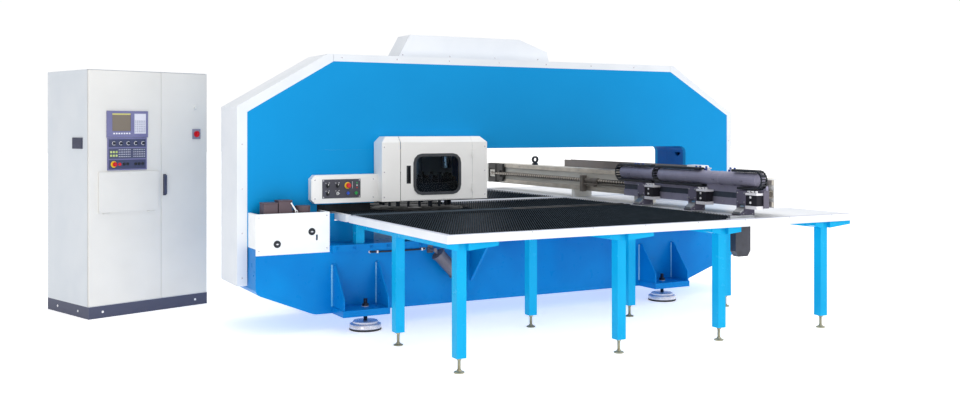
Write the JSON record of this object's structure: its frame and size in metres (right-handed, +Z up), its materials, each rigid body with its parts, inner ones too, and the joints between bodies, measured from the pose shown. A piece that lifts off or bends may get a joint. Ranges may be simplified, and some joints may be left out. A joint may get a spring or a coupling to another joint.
{
  "type": "cnc turret punch press",
  "caption": "Bridge-frame turret punch press: blue portal frame with white covers, brush tables, sliding crossbeam with clamps, and a separate control cabinet.",
  "frame": {"origin": "on the floor, at the middle of the overall width and depth", "axes": "+X along the frame to the operator's right, +Y from the operator's side through the throat, +Z up"},
  "size_m": [6.0498, 4.47, 2.345],
  "materials": {
    "blue_paint": "semi-gloss enamel",
    "white_paint": "semi-gloss enamel",
    "grey_paint": "fine texture",
    "light_steel": "ground",
    "dark_steel": "oiled",
    "black_plastic": "matt",
    "dark_panel": "satin",
    "brush_black": "bristle",
    "rubber_black": "matt",
    "window_glass": "clear",
    "cabinet_paint": "fine texture",
    "unit_grey": "satin",
    "chrome_steel": "polished",
    "red_plastic": "gloss",
    "blue_plastic": "gloss",
    "green_plastic": "gloss"
  },
  "bodies": {
    "machine_base": {"side_plate_near": "blue_paint", "side_plate_far": "blue_paint", "frame_webs": "blue_paint", "base_beam": "blue_paint", "vibration_mounts": "rubber_black", "base_cable": "black_plastic", "air_cylinder": "light_steel", "end_cover_left": "white_paint", "top_cover": "white_paint", "end_cover_right": "white_paint", "ram_hood": "white_paint", "front_cover": "white_paint", "air_unit": "light_steel", "turret_posts": "dark_steel", "ram_cylinder": "light_steel", "enclosure_near": "white_paint", "enclosure_far": "white_paint", "control_box": "white_paint", "control_panel": "dark_panel", "table_tops": "white_paint", "brush_field": "brush_black", "table_stands": "blue_paint", "levelling_feet": "chrome_steel", "gauge_housing": "black_plastic", "cabinet_body": "cabinet_paint"},
    "crossbeam": {"crossbeam": "white_paint", "guide_rails": "light_steel"},
    "ball_screw": {"ball_screw": "chrome_steel"},
    "carriage": {"carriage": "grey_paint", "energy_chains": "black_plastic", "clamp_bodies": "grey_paint"},
    "jaw_1": {"clamp_jaw_1": "light_steel"},
    "jaw_2": {"clamp_jaw_2": "light_steel"},
    "jaw_3": {"clamp_jaw_3": "light_steel"},
    "upper_turret": {"upper_turret": "dark_steel"},
    "lower_turret": {"lower_turret": "dark_steel"},
    "drive_pinion": {"drive_pinion": "dark_steel"},
    "striker": {"striker": "chrome_steel"},
    "enclosure_door": {"enclosure_door": "white_paint", "door_window": "window_glass", "window_gasket": "rubber_black", "door_handle": "black_plastic"},
    "gauge_stop": {"gauge_stop": "light_steel"},
    "latch_left": {"cover_latch_left": "black_plastic"},
    "latch_right": {"cover_latch_right": "black_plastic"},
    "shut_off_lever": {"shut_off_lever": "white_paint"},
    "emergency_stop": {"emergency_stop": "red_plastic"},
    "selector_upper": {"selector_upper": "black_plastic"},
    "selector_lower": {"selector_lower": "black_plastic"},
    "selector_right": {"selector_right": "black_plastic"},
    "key_switch": {"key_switch": "chrome_steel"},
    "hold_button": {"hold_button": "blue_plastic"},
    "start_button": {"start_button": "green_plastic"},
    "cabinet_door_left": {"cabinet_door_left": "cabinet_paint", "cnc_panel": "unit_grey"},
    "cabinet_door_right": {"cabinet_door_right": "cabinet_paint"},
    "keyboard_flap": {"keyboard_flap": "cabinet_paint"},
    "cabinet_stop": {"cabinet_stop": "red_plastic"},
    "main_switch": {"main_switch": "red_plastic"},
    "cabinet_handle": {"cabinet_handle": "black_plastic"}
  },
  "joints": [
    {"name": "crossbeam_travel", "type": "slide", "parent": "machine_base", "child": "crossbeam", "axis": [1, 0, 0], "range_m": [-1.25, 0]},
    {"name": "carriage_travel", "type": "slide", "parent": "crossbeam", "child": "carriage", "axis": [0, 1, 0], "range_m": [0, 1.5]},
    {"name": "screw_turn", "type": "hinge", "parent": "crossbeam", "child": "ball_screw", "pos_m": [1.64687, 0, 1.062], "axis": [0, 1, 0], "range_deg": [0, 13510]},
    {"name": "upper_turret_turn", "type": "hinge", "parent": "machine_base", "child": "upper_turret", "pos_m": [-0.28313, 0, 1.05], "axis": [0, 0, 1], "continuous": true},
    {"name": "lower_turret_turn", "type": "hinge", "parent": "machine_base", "child": "lower_turret", "pos_m": [-0.28313, 0, 0.83], "axis": [0, 0, 1], "continuous": true},
    {"name": "pinion_turn", "type": "hinge", "parent": "machine_base", "child": "drive_pinion", "pos_m": [-0.67913, 0, 1.13], "axis": [0, 0, 1], "continuous": true},
    {"name": "striker_stroke", "type": "slide", "parent": "machine_base", "child": "striker", "axis": [0, 0, 1], "range_m": [-0.04, 0]},
    {"name": "enclosure_door_swing", "type": "hinge", "parent": "machine_base", "child": "enclosure_door", "pos_m": [0.05487, -0.4073, 1.2], "axis": [0, 0, 1], "range_deg": [0, 110]},
    {"name": "gauge_rise", "type": "slide", "parent": "machine_base", "child": "gauge_stop", "axis": [0, 0, 1], "range_m": [-0.02, 0]},
    {"name": "shut_off_turn", "type": "hinge", "parent": "machine_base", "child": "shut_off_lever", "pos_m": [-1.46813, -0.4, 0.925], "axis": [0, 1, 0], "range_deg": [0, 90]},
    {"name": "jaw_1_grip", "type": "hinge", "parent": "carriage", "child": "jaw_1", "pos_m": [1.54387, -0.782, 0.962], "axis": [0, 1, 0], "range_deg": [-5, 8]},
    {"name": "jaw_2_grip", "type": "hinge", "parent": "carriage", "child": "jaw_2", "pos_m": [1.54387, -1.46, 0.962], "axis": [0, 1, 0], "range_deg": [-5, 8]},
    {"name": "jaw_3_grip", "type": "hinge", "parent": "carriage", "child": "jaw_3", "pos_m": [1.54387, -2.028, 0.962], "axis": [0, 1, 0], "range_deg": [-5, 8]},
    {"name": "latch_left_turn", "type": "hinge", "parent": "machine_base", "child": "latch_left", "pos_m": [-1.63113, -0.4383, 0.687], "axis": [0, 1, 0], "range_deg": [0, 90]},
    {"name": "latch_right_turn", "type": "hinge", "parent": "machine_base", "child": "latch_right", "pos_m": [-1.35813, -0.4383, 0.77], "axis": [0, 1, 0], "range_deg": [0, 90]},
    {"name": "selector_upper_turn", "type": "hinge", "parent": "machine_base", "child": "selector_upper", "pos_m": [-1.18313, -0.309, 1.109], "axis": [0, 1, 0], "range_deg": [-45, 45]},
    {"name": "selector_lower_turn", "type": "hinge", "parent": "machine_base", "child": "selector_lower", "pos_m": [-1.18313, -0.309, 1.048], "axis": [0, 1, 0], "range_deg": [-45, 45]},
    {"name": "selector_right_turn", "type": "hinge", "parent": "machine_base", "child": "selector_right", "pos_m": [-1.10113, -0.309, 1.109], "axis": [0, 1, 0], "range_deg": [-45, 45]},
    {"name": "key_switch_turn", "type": "hinge", "parent": "machine_base", "child": "key_switch", "pos_m": [-1.10113, -0.309, 1.048], "axis": [0, 1, 0], "range_deg": [0, 90]},
    {"name": "emergency_stop_press", "type": "slide", "parent": "machine_base", "child": "emergency_stop", "axis": [0, 1, 0], "range_m": [0, 0.005], "stiffness_N_per_m": 2000},
    {"name": "hold_button_press", "type": "slide", "parent": "machine_base", "child": "hold_button", "axis": [0, 1, 0], "range_m": [0, 0.004], "stiffness_N_per_m": 1000},
    {"name": "start_button_press", "type": "slide", "parent": "machine_base", "child": "start_button", "axis": [0, 1, 0], "range_m": [0, 0.004], "stiffness_N_per_m": 1000},
    {"name": "cabinet_left_swing", "type": "hinge", "parent": "machine_base", "child": "cabinet_door_left", "pos_m": [-2.77863, 0.92781, 1], "axis": [0, 0, -1], "range_deg": [0, 110]},
    {"name": "cabinet_right_swing", "type": "hinge", "parent": "machine_base", "child": "cabinet_door_right", "pos_m": [-1.76144, 1.26618, 1], "axis": [0, 0, 1], "range_deg": [0, 110]},
    {"name": "flap_fold", "type": "hinge", "parent": "cabinet_door_left", "child": "keyboard_flap", "pos_m": [-2.45372, 1.01555, 0.8575], "axis": [0.9489, 0.3156, 0], "range_deg": [0, 90]},
    {"name": "cabinet_stop_press", "type": "slide", "parent": "cabinet_door_left", "child": "cabinet_stop", "axis": [-0.3156, 0.9489, 0], "range_m": [0, 0.005], "stiffness_N_per_m": 2000},
    {"name": "main_switch_turn", "type": "hinge", "parent": "cabinet_door_right", "child": "main_switch", "pos_m": [-1.84275, 1.20963, 1.51], "axis": [0.3156, -0.9489, 0], "range_deg": [0, 90]},
    {"name": "cabinet_handle_turn", "type": "hinge", "parent": "cabinet_door_right", "child": "cabinet_handle", "pos_m": [-2.13784, 1.11778, 1.142], "axis": [0.3156, -0.9489, 0], "range_deg": [0, 90]}
  ],
  "couplings": [
    {"joint": "screw_turn", "follows": "carriage_travel", "rad_per_m": 157.08},
    {"joint": "lower_turret_turn", "follows": "upper_turret_turn", "ratio": 1},
    {"joint": "pinion_turn", "follows": "upper_turret_turn", "ratio": -5.6}
  ]
}
